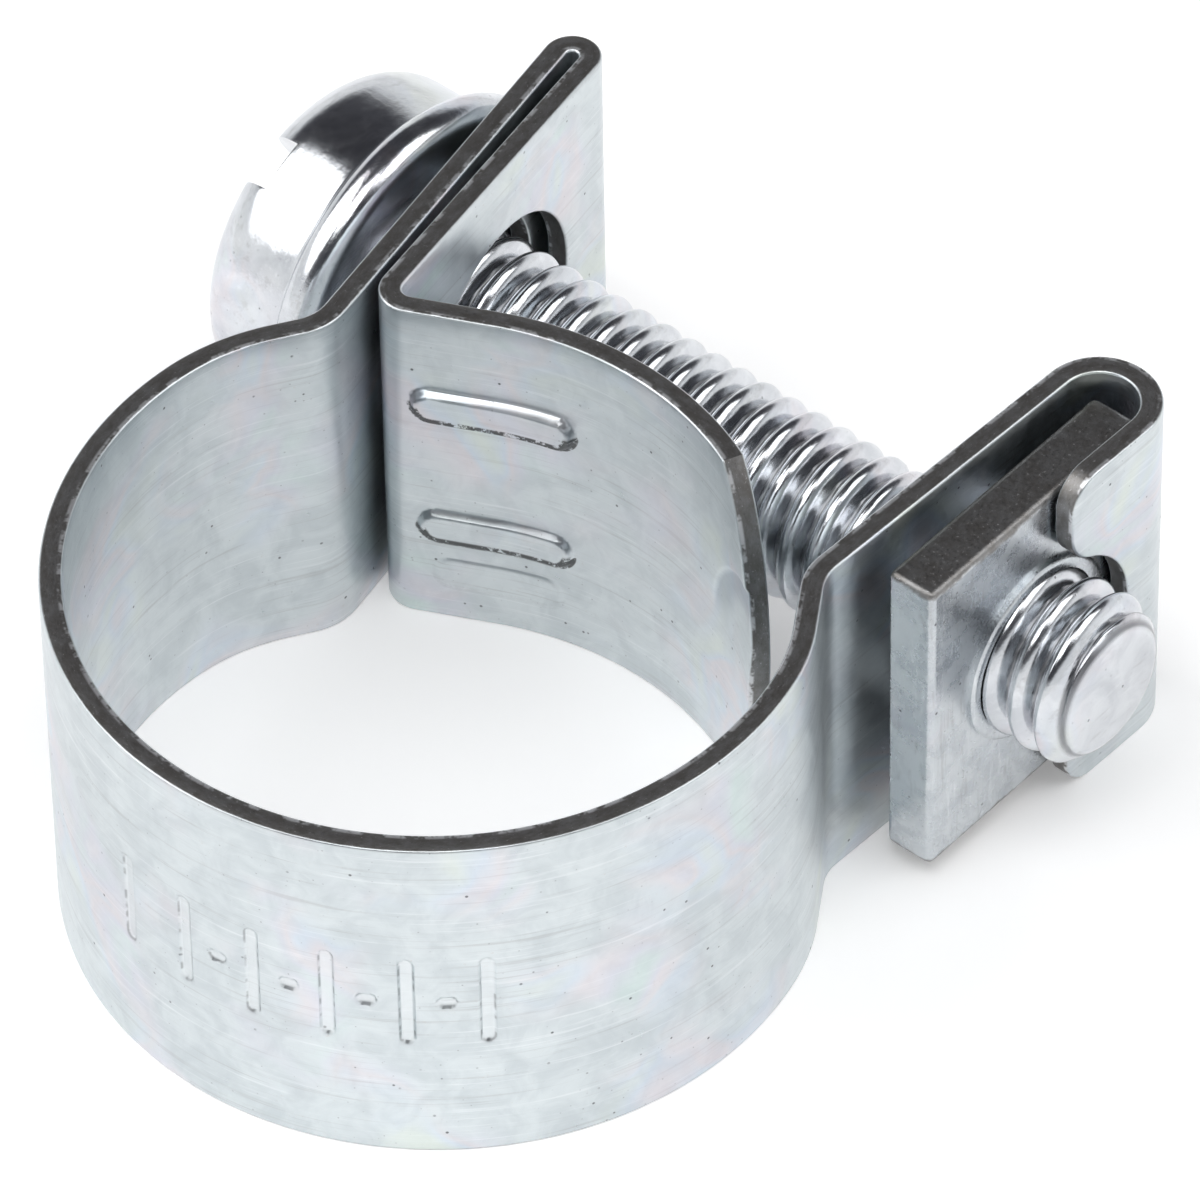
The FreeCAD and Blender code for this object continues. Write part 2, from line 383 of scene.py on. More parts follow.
class NutRun(IntEnum):
    """The stretches of the nut's side, in order."""

    RING = 0
    SHOULDER = 1
    SHOULDER_FLAT = 2
    EAR_FOOT = 3
    EAR_PLATE = 4
    HOOK = 5
    HOOK_LEG = 6


class HeadRun(IntEnum):
    """The stretches of the head's side, in order."""

    RING = 0
    SHOULDER = 1
    SHOULDER_FLAT = 2
    EAR_FOOT = 3
    OUTER_LEAF = 4
    FOLD = 5
    INNER_LEAF = 6
    TONGUE_FOOT = 7
    TONGUE_FLAT = 8
    TONGUE_ARC = 9


class Path:
    """One side of the strip's middle line, from the middle of the ring's front to that side's end."""

    flat_step = 0.5
    wide_bend = 2.0
    wide_share = 0.018
    tight_share = 0.1
    shortest_step = 0.04
    seam_gap = 0.005

    def __init__(self, side: Side, radius: float, runs: Sequence[Run]) -> None:
        """Walks the runs from the front of the ring.

        Args:
            side: The side of the ring.
            radius: The radius of the ring's middle line.
            runs: The stretches in order, walked towards +X whichever side they belong to.
        """
        self.side = side
        self.runs = list(runs)
        self.starts = [0.0]
        self.stations = [(0.0, -radius, 0.0)]
        for run in self.runs:
            self.stations.append(self._ahead(run, self.stations[-1], run.length))
            self.starts.append(self.starts[-1] + run.length)

    @staticmethod
    def _ahead(run: Run, station: tuple[float, float, float], distance: float) -> tuple[float, float, float]:
        """The place and heading a distance along a run."""
        x, y, heading = station
        if not run.turn:
            return x + distance * math.cos(heading), y + distance * math.sin(heading), heading
        radius = run.length / math.radians(run.turn)
        end = heading + distance / radius
        return (x + radius * (math.sin(end) - math.sin(heading)),
                y - radius * (math.cos(end) - math.cos(heading)), end)

    @property
    def length(self) -> float:
        """The whole length."""
        return self.starts[-1]

    def mark(self, run: int, share: float = 0.0) -> float:
        """The distance to a share of one run."""
        return self.starts[run] + share * self.runs[run].length

    def mark_level(self, run: int, y: float) -> float:
        """The distance at which a flat run passes a given Y."""
        _, start, heading = self.stations[run]
        return self.starts[run] + (y - start) / math.sin(heading)

    def place(self, along: np.ndarray, offset: np.ndarray) -> tuple[np.ndarray, np.ndarray]:
        """Puts points of the flat strip in plan.

        Args:
            along: The distance from the front.
            offset: How far each point is from the middle line, towards the ring's centre.

        Returns:
            X and Y.
        """
        x, y = np.zeros_like(along), np.zeros_like(along)
        index = np.clip(np.searchsorted(self.starts, along, side="right") - 1, 0, len(self.runs) - 1)
        for number, run in enumerate(self.runs):
            here = index == number
            x0, y0, h0 = self.stations[number]
            ahead = along[here] - self.starts[number]
            if run.turn:
                radius = run.length / math.radians(run.turn)
                heading = h0 + ahead / radius
                px = x0 + radius * (np.sin(heading) - math.sin(h0))
                py = y0 - radius * (np.cos(heading) - math.cos(h0))
            else:
                heading = np.full_like(ahead, h0)
                px, py = x0 + ahead * math.cos(h0), y0 + ahead * math.sin(h0)
            x[here] = px - offset[here] * np.sin(heading)
            y[here] = py + offset[here] * np.cos(heading)
        return x * self.side.value, y

    def cuts(self, start: float, end: float) -> list[float]:
        """The distances between two seams at which a mesh is cut so that it bends smoothly."""
        found = []
        for number, run in enumerate(self.runs):
            count = max(1, math.ceil(run.length / self._step(run)))
            found += [self.mark(number, k / count) for k in range(count + 1)]
        return [value for value in found if start + self.seam_gap < value < end - self.seam_gap]

    def _step(self, run: Run) -> float:
        """The longest distance between two cuts on a run."""
        if not run.turn:
            return self.flat_step
        radius = run.length / math.radians(abs(run.turn))
        if radius > self.wide_bend:
            return max(self.shortest_step, self.wide_share * radius)
        return self.tight_share * radius


@dataclass(frozen=True)
class Section:
    """A length of the strip that spans one hinge."""

    name: str
    side: Side
    start: float
    end: float
    bodies: tuple[str, str]
    hinge: float
    nodes: tuple[str, ...]
    reach: float = 1.5


@dataclass(frozen=True)
class Patch:
    """A part of the flat strip that is cut finely for small relief."""

    start: float
    end: float
    low: float
    high: float
    step: float

    def holds(self, centre: Vector) -> bool:
        """Whether a face with this centre is in the patch, or close enough to be cut with it."""
        along = self.start - 0.1 < centre.x < self.end + 0.1
        return along and self.low - 0.3 < centre.y < self.high + 0.3


# ---------------------------------------------------------------------------------------------------------
# Finishes
# ---------------------------------------------------------------------------------------------------------

def new_finish(name: str) -> tuple[bpy.types.Material, Wiring]:
    """A material with an empty tree."""
    material = bpy.data.materials.new(name)
    material.use_nodes = True
    return material, Wiring(material.node_tree)


@dataclass(frozen=True)
class ZincFinish:
    """Zinc plate over steel, with cloudy tone, scratches along the work and small pits."""

    name: str
    colour: tuple[float, float, float] = (0.64, 0.685, 0.70)
    dull: tuple[float, float, float] = (0.54, 0.585, 0.605)
    roughness: float = 0.33
    cloud_scale: float = 1.1
    tint: float = 0.35
    bump: float = 0.30
    wear: float = 1.0

    def sheen(self, w: Wiring, place: Sock, grain: Sock) -> tuple[Sock, Sock, Sock]:
        """Wires the plated face.

        Args:
            w: The tree.
            place: Where a point is, in millimetres.
            grain: The same place stretched along the direction of the scratches.

        Returns:
            Colour, roughness and height.
        """
        cloud = w.noise(place, self.cloud_scale, 5.0, 0.6, 0.6)
        fine = w.noise(place, 4.5, 4.0, 0.65)
        scratch = w.noise(grain, 1.0, 3.0, 0.75)
        colour = w.blend(cloud.step(0.32, 0.68), self.dull, self.colour)
        colour = w.blend(scratch.step(0.56, 0.72) * (0.35 * self.wear), colour, (0.86, 0.88, 0.90))
        colour = w.blend(scratch.step(0.44, 0.31) * (0.30 * self.wear), colour, (0.33, 0.33, 0.33))
        rust = w.noise(place, 7.0, 5.0, 0.75).step(0.60, 0.74) * w.noise(place, 1.1, 2.0).step(0.45, 0.62)
        colour = w.blend(rust * (0.40 * self.wear), colour, (0.48, 0.43, 0.38))
        rainbow = w.node("ShaderNodeValToRGB", {"stops": [
            (0.30, (0.62, 0.78, 0.72)), (0.42, (0.70, 0.66, 0.78)), (0.50, (0.80, 0.66, 0.70)),
            (0.58, (0.62, 0.70, 0.84)), (0.70, (0.72, 0.78, 0.66))]},
            {"Fac": w.noise(place, 0.33, 2.0, 0.4, 1.2)})
        where = w.noise(w.stretched(place, (1.0, 1.3, 1.0), 30.0), 0.21, 2.0).step(0.46, 0.62) * self.tint
        colour = w.blend(where, colour, rainbow)
        pits = w.cells(place, 2.3).step(0.10, 0.05) * w.noise(place, 0.9, 1.0).step(0.50, 0.60)
        specks = w.cells(w.stretched(place, (1.0, 1.0, 1.0), 40.0), 5.5).step(0.14, 0.07)
        colour = w.blend(pits * (0.75 * self.wear), colour, (0.07, 0.07, 0.08))
        colour = w.blend(specks * fine.step(0.5, 0.6) * (0.5 * self.wear), colour, (0.20, 0.20, 0.22))
        rough = self.roughness + ((cloud - 0.5) * 0.20 + (fine - 0.5) * 0.16 + pits * 0.2) * self.wear
        height = fine * 0.5 + scratch * 0.5 + cloud * 1.2 - pits * 0.8
        return colour, rough, height

    def finish(self, w: Wiring, colour: Sock, rough: Sock, height: Sock, depth: float = 0.02) -> None:
        """Ends a tree in a metal shader.

        Args:
            w: The tree.
            colour: Its colour.
            rough: Its roughness.
            height: Its relief, where 1 is the depth.
            depth: The relief's depth in millimetres.
        """
        normal = w.node("ShaderNodeBump", None,
                        {"Strength": self.bump, "Distance": depth * MM, "Height": height})
        shader = w.node("ShaderNodeBsdfPrincipled", None, {
            "Base Color": colour, "Metallic": 1.0, "Roughness": rough.most(0.12).least(0.85),
            "Normal": normal})
        w.node("ShaderNodeOutputMaterial", None, {"Surface": shader})

    @staticmethod
    def torn(w: Wiring, place: Sock) -> tuple[Sock, Sock, Sock]:
        """Sheared metal: dark and rough, with fine bright and dark specks.

        Args:
            w: The tree.
            place: Where a point is, in millimetres.

        Returns:
            Colour, roughness and height.
        """
        coarse = w.noise(place, 2.2, 5.0, 0.7)
        fine = w.noise(place, 11.0, 3.0, 0.7)
        colour = w.blend(coarse.step(0.30, 0.75), (0.20, 0.19, 0.18), (0.30, 0.30, 0.30))
        colour = w.blend(fine.step(0.62, 0.72) * 0.5, colour, (0.80, 0.81, 0.83))
        colour = w.blend(fine.step(0.42, 0.30) * 0.4, colour, (0.08, 0.08, 0.08))
        return colour, 0.42 + (fine - 0.5) * 0.3, coarse * 1.2 + fine * 0.6


@dataclass(frozen=True)
class BandFinish(ZincFinish):
    """The strip's finish, which follows the strip round its bends."""

    face: float = 0.25

    def build(self) -> bpy.types.Material:
        """Makes the material."""
        material, w = new_finish(self.name)
        strip = w.node("ShaderNodeAttribute", {"attribute_name": "strip"}, None, out="Vector")
        _, _, offset = w.parts(strip)
        colour, rough, height = self.sheen(w, strip, w.stretched(strip, (0.22, 9.0, 3.0)))
        edge_colour, edge_rough, edge_height = self.torn(w, w.stretched(strip, (1.0, 1.0, 2.0)))
        pressed = w.node("ShaderNodeAttribute", {"attribute_name": "pressed"}, None, out="Vector")
        stamp, rib_flank_shade, coin_step_shade = w.parts(pressed)
        # The stamp's groove floor is painted lighter as a painted highlight, and its walls darker as painted
        # shade.
        groove_floor_highlight = stamp.step(0.1, 0.9)
        colour = w.blend(groove_floor_highlight * 0.45, colour, (0.76, 0.79, 0.80))
        groove_wall_shade = (1.0 - abs(stamp * 2.0 - 1.0)).step(0.2, 0.9) * w.noise(strip, 2.6, 2.0).step(0.48, 0.60)
        colour = w.blend(groove_wall_shade * 0.55, colour, (0.16, 0.16, 0.17))
        # Painted shade in the coined dent, just inside its step.
        colour = w.blend(coin_step_shade * 0.55, colour, (0.30, 0.35, 0.41))
        # Painted shade round the ribs, strongest below them, broken up with noise; the name torn here means
        # this painted shade.
        torn = rib_flank_shade.step(0.18, 0.6) * w.noise(strip, 6.0, 3.0, 0.7).step(0.36, 0.50)
        colour = w.blend(torn * 0.9, colour, (0.05, 0.05, 0.05))
        height = height * (1.0 - groove_floor_highlight * 0.7)
        side = abs(offset).step(self.face - 0.015, self.face - 0.06)
        # A painted highlight along the burr on the edge nearest the ring's centre.
        burr_highlight = offset.step(0.10, 0.16) * w.noise(strip, 1.9, 3.0, 0.7).step(0.45, 0.56)
        edge_colour = w.blend(burr_highlight * 0.8, edge_colour, (0.88, 0.89, 0.91))
        colour = w.blend(side, colour, edge_colour)
        rough = rough + (edge_rough - rough) * side
        height = height + (edge_height - height) * side
        self.finish(w, colour, rough, height)
        return material


@dataclass(frozen=True)
class TurnedFinish(ZincFinish):
    """The screw's finish: brighter, with painted shade at the thread's root."""

    axis_y: float = 9.53
    axis_z: float = 4.5
    root: float = 1.55
    crest: float = 1.68
    plain_before: float = -8.5

    def build(self) -> bpy.types.Material:
        """Makes the material."""
        material, w = new_finish(self.name)
        place = millimetres(w)
        x, y, z = w.parts(place)
        colour, rough, height = self.sheen(w, place, w.stretched(place, (3.0, 0.8, 3.0)))
        radius = self._distance(w, y - self.axis_y, z - self.axis_z)
        # Painted shade in the thread's roots, between the crests, from the plain shank to the tip.
        thread_root_shade = radius.step(self.crest, self.root) * x.step(self.plain_before, self.plain_before + 0.1)
        thread_root_shade = thread_root_shade * x.step(10.38, 10.30)
        colour = w.blend(thread_root_shade * 0.65, colour, (0.10, 0.10, 0.11))
        self.finish(w, colour, rough + thread_root_shade * 0.15, height)
        return material

    @staticmethod
    def _distance(w: Wiring, a: Sock, b: Sock) -> Sock:
        """The distance from the axis."""
        return w.node("ShaderNodeVectorMath", {"operation": "LENGTH"}, {0: w.vector(a, b, 0.0)}, out="Value")


@dataclass(frozen=True)
class NutFinish(ZincFinish):
    """The nut's finish: plated faces, and two sheared ends that are dark and rough."""

    centre_z: float = 4.5
    half_height: float = 4.05

    def build(self) -> bpy.types.Material:
        """Makes the material."""
        material, w = new_finish(self.name)
        place = millimetres(w)
        _, _, z = w.parts(place)
        colour, rough, height = self.sheen(w, place, w.stretched(place, (2.0, 5.0, 0.6)))
        edge_colour, edge_rough, edge_height = self.torn(w, place)
        jag = (w.noise(place, 1.4, 4.0, 0.7) - 0.5) * 0.35
        end = (abs(z - self.centre_z) + jag).step(self.half_height - 0.20, self.half_height - 0.08)
        colour = w.blend(end, colour, edge_colour)
        rough = rough + (edge_rough - rough) * end
        height = height + (edge_height - height) * end
        self.finish(w, colour, rough, height, 0.03)
        return material


def millimetres(w: Wiring) -> Sock:
    """The place of a point on its object, in millimetres."""
    place = w.node("ShaderNodeTexCoord", None, None, out="Object")
    return w.node("ShaderNodeMapping", None, {"Vector": place, "Scale": (1.0 / MM,) * 3})


# ---------------------------------------------------------------------------------------------------------
# The strip
# ---------------------------------------------------------------------------------------------------------

@dataclass
class Band:
    """The folded strip: the ring, the hooked ear that holds the nut, the doubled ear and its tongue."""

    width: float = 9.0
    thickness: float = 0.5
    rounding: float = 0.06
    ring_radius: float = 7.95
    screw_y: float = 9.53
    screw_z: float = 4.5
    hook_corner: float = 0.8
    lobe: float = 1.1
    notch: float = 2.4
    notch_depth: float = 1.88
    lobe_sweep: float = 62.4
    lobe_gap: float = 0.002
    seam_overrun: float = 1.0
    leaf_seam: float = 0.5
    row_step: float = 0.5
    row_shift: float = 0.01
    nut_ear_hole: float = 2.5
    outer_leaf_hole: float = 2.3
    inner_leaf_hole: float = 2.7
    tip_crown: float = 6.8
    ribs: tuple[tuple[float, float], ...] = ((6.35, 1.0), (2.75, 0.8), (1.35, 0.25))
    rib_height: float = 0.2
    rib_half_width: float = 0.50
    rib_flat: float = 1.85
    rib_arc: float = 15.0
    stamp_depth: float = 0.08
    stamp_start: float = -1.45
    stamp_pitch: float = 1.62
    stamp_bars: int = 6
    stamp_levels: tuple[float, float] = (3.4, 5.6)
    stroke_floor: float = 0.10
    stroke_edge: float = 0.19
    dot_half: float = 0.06
    mark_patch: tuple[float, float] = (3.0, 6.0)
    mark_reach: tuple[float, float] = (1.8, 7.8)
    stamp_grid: float = 0.06
    rib_patch: float = 0.6
    rib_grid: float = 0.07
    coin_patch: tuple[float, float] = (0.7, 2.2)
    coin_reach: float = 2.4
    coin_inset: float = 0.25
    coin_radius: float = 1.95
    coin_depth: float = 0.07
    finish: BandFinish = field(default_factory=lambda: BandFinish("band_zinc"))

    def __post_init__(self) -> None:
        """Walks both sides of the strip."""
        self.paths = {
            Side.NUT: Path(Side.NUT, self.ring_radius, [
                bent(self.ring_radius, 105.0), bent(5.0, 18.0), Run(1.2), bent(1.3, -35.0), Run(7.31),
                bent(1.095, -179.0), Run(2.45)]),
            Side.HEAD: Path(Side.HEAD, self.ring_radius, [
                bent(self.ring_radius, 95.0), bent(5.0, 28.0), Run(0.6), bent(1.25, -43.2), Run(9.18),
                bent(0.4, 181.2), Run(7.84), bent(0.5, -107.0), Run(1.88), bent(7.6, 64.0)]),
        }
        self.material = self.finish.build()

    def sections(self) -> list[Section]:
        """The lengths of the strip, one for each hinge."""
        nut, head = self.paths[Side.NUT], self.paths[Side.HEAD]
        ring = {angle: math.radians(angle) * self.ring_radius for angle in (20, 35, 50, 65, 80, 92, 100)}
        arc = head.runs[HeadRun.TONGUE_ARC].turn
        tongue = {angle: head.mark(HeadRun.TONGUE_ARC, angle / arc) for angle in (15.6, 20, 31, 42)}
        leaf_end = head.mark(HeadRun.INNER_LEAF, 1.0) - self.leaf_seam
        return [
            Section("band_front_right", Side.NUT, 0.0, ring[35], ("ring_front", "nut_side_1"), ring[20],
                    ("band_front",)),
            Section("band_right", Side.NUT, ring[35], ring[65], ("nut_side_1", "nut_side_2"), ring[50],
                    ("band_nut_side_1",)),
            Section("band_upper_right", Side.NUT, ring[65], ring[100], ("nut_side_2", "nut_side_shoulder"),
                    ring[80], ("band_nut_side_2",)),
            Section("hooked_ear", Side.NUT, ring[100], nut.length, ("nut_side_shoulder", "nut_ear"),
                    nut.mark(NutRun.EAR_FOOT, 0.5), ("band_nut_side_shoulder", "nut_ear")),
            Section("band_front_left", Side.HEAD, 0.0, ring[35], ("ring_front", "head_side_1"), ring[20],
                    ("band_head_side_1",)),
            Section("band_left", Side.HEAD, ring[35], ring[65], ("head_side_1", "head_side_2"), ring[50],
                    ("band_head_side_2",)),
            Section("band_upper_left", Side.HEAD, ring[65], ring[92], ("head_side_2", "head_side_shoulder"),
                    ring[80], ("band_head_side_shoulder",)),
            Section("folded_ear", Side.HEAD, ring[92], leaf_end, ("head_side_shoulder", "head_ear"),
                    head.mark(HeadRun.EAR_FOOT, 0.5), ("head_ear",)),
            Section("tongue_foot", Side.HEAD, leaf_end, tongue[15.6], ("head_ear", "tongue_root"),
                    head.mark(HeadRun.TONGUE_FOOT, 0.5), ("tongue_root",), 0.9),
            Section("tongue_middle_length", Side.HEAD, tongue[15.6], tongue[31],
                    ("tongue_root", "tongue_middle"), tongue[20], ("tongue_middle",), 0.55),
            Section("tongue_end", Side.HEAD, tongue[31], head.length, ("tongue_middle", "tongue_tip"),
                    tongue[42], ("tongue_tip",), 1.4),
        ]

    def build(self) -> list[bpy.types.Object]:
        """Makes every length of the strip."""
        blanks = {Side.NUT: self._nut_blank(), Side.HEAD: self._head_blank()}
        made = [self._bend_section(section, blanks[section.side]) for section in self.sections()]
        for blank in blanks.values():
            bpy.data.objects.remove(blank)
        return made

    def _nut_blank(self) -> bpy.types.Object:
        """The flat strip of the nut's side, with its screw hole and the notched end of the hook."""
        path, middle = self.paths[Side.NUT], self.width / 2
        end = path.length
        corner, lobe, lobe_end = self.hook_corner, self.lobe, self.lobe_sweep
        lobe_rise = lobe * math.sin(math.radians(lobe_end))
        notch_x = end - self.notch_depth + self.notch
        notch_rise = self.notch * math.sin(math.radians(lobe_end))
        lobe_level = middle - notch_rise - lobe_rise + self.lobe_gap
        rim = [(-self.seam_overrun, 0.0)]
        rim += arc_points((end - corner, corner), corner, -90, 0)
        rim += arc_points((end - lobe, lobe_level), lobe, 0, lobe_end)
        rim += arc_points((notch_x, middle), self.notch, 180 + lobe_end, 180 - lobe_end)[1:-1]
        rim += arc_points((end - lobe, self.width - lobe_level), lobe, -lobe_end, 0)
        rim += arc_points((end - corner, self.width - corner), corner, 0, 90)
        rim += [(-self.seam_overrun, self.width)]
        hole = (path.mark_level(NutRun.EAR_PLATE, self.screw_y), middle)
        return self._blank("nut_side_blank", rim, [(hole, self.nut_ear_hole)])

    def _head_blank(self) -> bpy.types.Object:
        """The flat strip of the head's side, with a hole in each leaf and the tongue's crowned end."""
        path, middle = self.paths[Side.HEAD], self.width / 2
        spread = math.degrees(math.asin(middle / self.tip_crown))
        crown = arc_points((path.length - self.tip_crown, middle), self.tip_crown, -spread, spread, 3.0)
        rim = [(-self.seam_overrun, 0.0), *crown, (-self.seam_overrun, self.width)]
        holes = [((path.mark_level(HeadRun.OUTER_LEAF, self.screw_y), middle), self.outer_leaf_hole),
                 ((path.mark_level(HeadRun.INNER_LEAF, self.screw_y), middle), self.inner_leaf_hole)]
        return self._blank("head_side_blank", rim, holes)

    def _blank(self, name: str, rim: Sequence[Point],
               holes: Iterable[tuple[Point, float]]) -> bpy.types.Object:
        """Cuts a flat plate with rounded edges.

        Args:
            name: The plate's name.
            rim: Its outline, anticlockwise.
            holes: The centre and radius of each round hole.

        Returns:
            The plate, with X along the strip, Y across it and Z its thickness, in millimetres.
        """
        curve = bpy.data.curves.new(name, "CURVE")
        curve.dimensions, curve.fill_mode = "2D", "BOTH"
        curve.extrude = self.thickness / 2 - self.rounding
        curve.bevel_depth, curve.bevel_resolution = self.rounding, 2
        curve.offset = -self.rounding
        outlines = [list(rim)] + [arc_points(centre, radius, 360, 5, 5.0) for centre, radius in holes]
        for outline in outlines:
            spline = curve.splines.new("POLY")
            spline.points.add(len(outline) - 1)
            for target, (x, y) in zip(spline.points, outline):
                target.co = (x, y, 0.0, 1.0)
            spline.use_cyclic_u = True
        return baked_object(linked(bpy.data.objects.new(name + "_curve", curve)), name)

    def _bend_section(self, section: Section, blank: bpy.types.Object) -> bpy.types.Object:
        """Cuts one length from its blank, bends it and dresses it."""
        path = self.paths[section.side]
        mesh = self._flat_mesh(section, blank)
        self._bend_mesh(mesh, path)
        obj = flowing_normals(linked(bpy.data.objects.new(section.name, mesh)))
        obj.data.materials.append(self.material)
        start, end = (self._point(path, section.hinge + way * section.reach) for way in (-1, 1))
        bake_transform(obj)
        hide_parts(*section.nodes)
        return obj

    def _flat_mesh(self, section: Section, blank: bpy.types.Object) -> bpy.types.Mesh:
        """Cuts one length from its blank, with faces small enough to bend.

        Args:
            section: The length.
            blank: The flat plate of its side.

        Returns:
            The flat mesh in millimetres, wound so that its faces look outwards once it is bent.
        """
        bm = bmesh.new()
        bm.from_mesh(blank.data)
        bmesh.ops.remove_doubles(bm, verts=bm.verts, dist=1e-5)
        trim(bm, section.start, section.end)
        for distance in self.paths[section.side].cuts(section.start, section.end):
            cut(bm, Vector((distance, 0, 0)), Vector((1, 0, 0)))
        rows = round(self.width / self.row_step)
        for row in range(1, rows):
            cut(bm, Vector((0, row * self.width / rows + self.row_shift, 0)), Vector((0, 1, 0)))
        for patch in self._patches(section):
            cut_patch(bm, patch)
        if section.side is Side.NUT:
            bmesh.ops.reverse_faces(bm, faces=bm.faces)
        mesh = bpy.data.meshes.new(section.name)
        bm.to_mesh(mesh)
        bm.free()
        return mesh

    def _point(self, path: Path, along: float) -> Vector:
        """A point of the middle line, in metres."""
        x, y = path.place(np.array([along]), np.zeros(1))
        return Vector((x[0], y[0], self.screw_z)) * MM

    def _bend_mesh(self, mesh: bpy.types.Mesh, path: Path) -> None:
        """Keeps every point's place on the flat strip as an attribute, and moves it to the bent one."""
        flat = np.zeros(len(mesh.vertices) * 3)
        mesh.vertices.foreach_get("co", flat)
        flat = flat.reshape(-1, 3)
        along, across, offset = flat.T
        stamp, rib_flank_shade, coin_step_shade, relief = self._relief(path, along, across, offset)
        for name, values in (("strip", flat * (path.side.value, 1.0, 1.0)),
                             ("pressed", np.stack([stamp, rib_flank_shade, coin_step_shade], axis=1))):
            attribute = mesh.attributes.new(name, "FLOAT_VECTOR", "POINT")
            attribute.data.foreach_set("vector", np.ascontiguousarray(values).ravel())
        offset = offset + relief
        x, y = path.place(along, offset)
        placed = np.stack([x, y, across], axis=1) * MM
        mesh.vertices.foreach_set("co", placed.ravel())
        mesh.update()

    def _relief(self, path: Path, along: np.ndarray, across: np.ndarray,
                offset: np.ndarray) -> tuple[np.ndarray, ...]:
        """What is pressed in the strip, and where shade is painted beside it.

        Args:
            path: The side of the strip.
            along: The distance of each point from the front.
            across: Its height.
            offset: How far it is from the middle line.

        Returns:
            The shares of stamp, of painted shade round the ribs and of painted shade in the coined dent, and
            the push towards the centre.
        """
        stamp = smooth(0.10, -0.19, offset) * self._stamp(path.side.value * along, across)
        push = stamp * self.stamp_depth
        if path.side is Side.NUT:
            return stamp, np.zeros_like(along), np.zeros_like(along), push
        ribs, rib_flank_shade = self._ribs(along, across)
        inner = smooth(-0.10, 0.19, offset)
        x = along - path.length + self.coin_inset
        distance = np.hypot(x, across - self.width / 2)
        upper = smooth(-0.6, 0.6, across - self.width / 2)
        dent = upper * (1.0 - smooth(self.coin_radius - 0.10, self.coin_radius + 0.05, distance))
        # Where the coined dent gets painted shade, in a band just inside its step.
        coin_step_shade = dent * smooth(self.coin_radius - 1.0, self.coin_radius - 0.4, distance) * inner
        return stamp, rib_flank_shade * inner, coin_step_shade, push + ribs * self.rib_height - inner * dent * self.coin_depth

    def _ribs(self, along: np.ndarray, across: np.ndarray) -> tuple[np.ndarray, np.ndarray]:
        """The pressed ribs across the tongue's foot: their height, and the share of painted shade round them,
        strongest below.
        """
        path = self.paths[Side.HEAD]
        arc = path.runs[HeadRun.TONGUE_ARC].turn
        start = path.mark(HeadRun.TONGUE_ARC) - self.rib_flat + self.rib_half_width
        end = path.mark(HeadRun.TONGUE_ARC, self.rib_arc / arc) - self.rib_half_width
        height, rib_flank_shade = np.zeros_like(along), np.zeros_like(along)
        half = self.rib_half_width
        for level, rise in self.ribs:
            inset = (1.0 - rise) * half
            beyond = np.maximum(np.maximum(start + inset - along, along - end + inset), 0.0)
            distance = np.hypot(beyond, across - level)
            height = np.maximum(height, rise * (1.0 - smooth(half - 0.15, half, distance)))
            under = smooth(0.10, -0.10, across - level)
            # The painted shade runs round each rib's rim, mostly on its lower side.
            rim = smooth(half - 0.32, half - 0.20, distance) * (1.0 - smooth(half, half + 0.08, distance))
            rib_flank_shade = np.maximum(rib_flank_shade, rim * (0.15 + 0.85 * under) * rise)
        return height, rib_flank_shade

    def _stamp(self, along: np.ndarray, across: np.ndarray) -> np.ndarray:
        """A generic stamped mark: a row of bars and dots that spells nothing."""
        depth = np.zeros_like(along)
        for (x0, y0), (x1, y1) in self.stamp_strokes():
            dx, dy = x1 - x0, y1 - y0
            share = np.clip(((along - x0) * dx + (across - y0) * dy) / (dx * dx + dy * dy), 0.0, 1.0)
            distance = np.hypot(along - x0 - share * dx, across - y0 - share * dy)
            depth = np.maximum(depth, 1.0 - smooth(self.stroke_floor, self.stroke_edge, distance))
        return depth

    def stamp_strokes(self) -> list[tuple[Point, Point]]:
        """The mark's strokes, each from one point of the flat strip to another."""
        low, high = self.stamp_levels
        strokes = []
        for number in range(self.stamp_bars):
            x = self.stamp_start + number * self.stamp_pitch
            strokes.append(((x, low), (x, high)))
            if 0 < number < self.stamp_bars - 1:
                dot = x + self.stamp_pitch / 2
                strokes.append(((dot - self.dot_half, self.screw_z), (dot + self.dot_half, self.screw_z)))
        return strokes

    def _patches(self, section: Section) -> list[Patch]:
        """Where a length of the strip needs finer cuts for its relief."""
        middle = self.width / 2
        mark_low, mark_high = self.mark_patch
        mark_left, mark_right = self.mark_reach
        stamped = {
            "band_front_left": (0.0, mark_left),
            "band_front_right": (0.0, section.end),
            "band_right": (section.start, mark_right),
        }
        if section.name in stamped:
            return [Patch(*stamped[section.name], mark_low, mark_high, self.stamp_grid)]
        if section.name == "tongue_foot":
            return [Patch(section.start + 1.0, section.end, level - self.rib_patch, level + self.rib_patch,
                          self.rib_grid) for level, _ in self.ribs]
        if section.name == "tongue_end":
            below, above = self.coin_patch
            return [Patch(section.end - self.coin_reach, section.end, middle - below, middle + above,
                          self.rib_grid)]
        return []


# ---------------------------------------------------------------------------------------------------------
# Cutting a flat mesh
# ---------------------------------------------------------------------------------------------------------

def cut(bm: bmesh.types.BMesh, point: Vector, normal: Vector,
        faces: Iterable[bmesh.types.BMFace] | None = None) -> None:
    """Cuts faces, or all of them, along a plane, and keeps both halves."""
    if faces is None:
        geom = [*bm.verts, *bm.edges, *bm.faces]
    else:
        faces = set(faces)
        edges = {edge for face in faces for edge in face.edges}
        verts = {vert for edge in edges for vert in edge.verts}
        geom = [*verts, *edges, *faces]
    bmesh.ops.bisect_plane(bm, geom=geom, dist=1e-5, plane_co=point, plane_no=normal)


